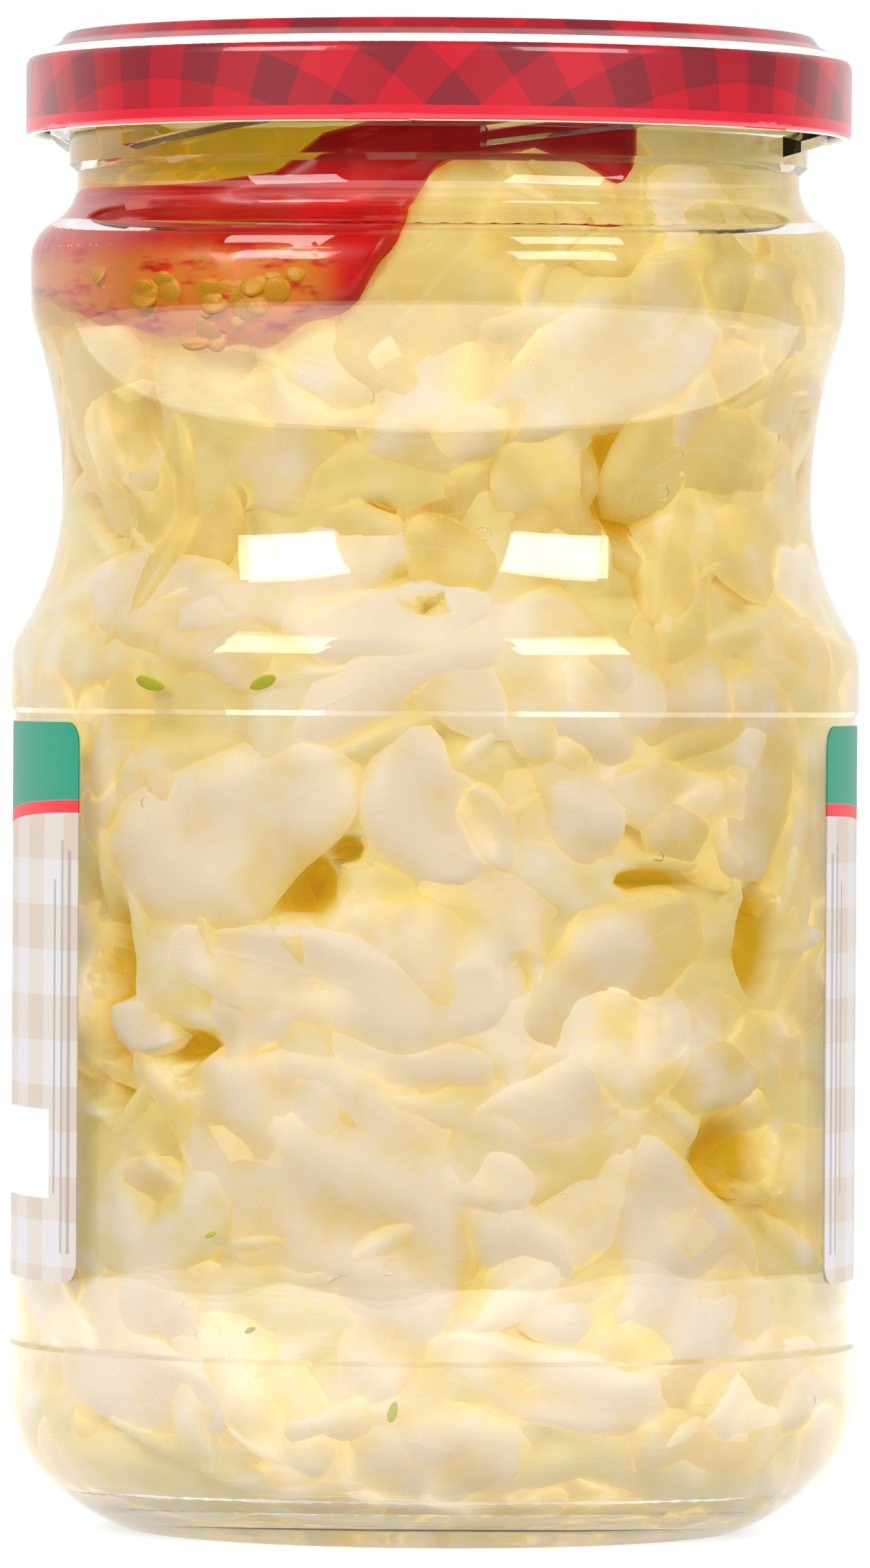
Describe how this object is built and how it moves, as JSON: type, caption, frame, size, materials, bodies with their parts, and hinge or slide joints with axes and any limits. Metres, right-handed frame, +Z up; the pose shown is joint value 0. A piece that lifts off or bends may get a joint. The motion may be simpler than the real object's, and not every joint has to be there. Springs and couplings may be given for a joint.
{
  "type": "sauerkraut jar",
  "caption": "Filled and closed glass pickle jar with a waisted body, a twist-off metal lid and a wrap-round paper label; cabbage and red pepper lie in brine.",
  "frame": {"origin": "middle of the bearing ring under the jar, on the surface that it stands on", "axes": "+Z up the jar's axis to the lid; -Y is the side where the label's two ends leave a gap, +Y the middle of the label; +X to the right seen from -Y"},
  "size_m": [0.0876, 0.0876, 0.1539],
  "materials": {
    "glass": "clear gloss",
    "lid": "gloss red check print",
    "label": "satin print",
    "contents": "wet cabbage in clear yellow brine",
    "pepper": "wet red pepper"
  },
  "bodies": {
    "root": {"jar": "glass", "lid": "lid", "label": "label", "contents": "contents", "pepper": "pepper"}
  },
  "joints": []
}
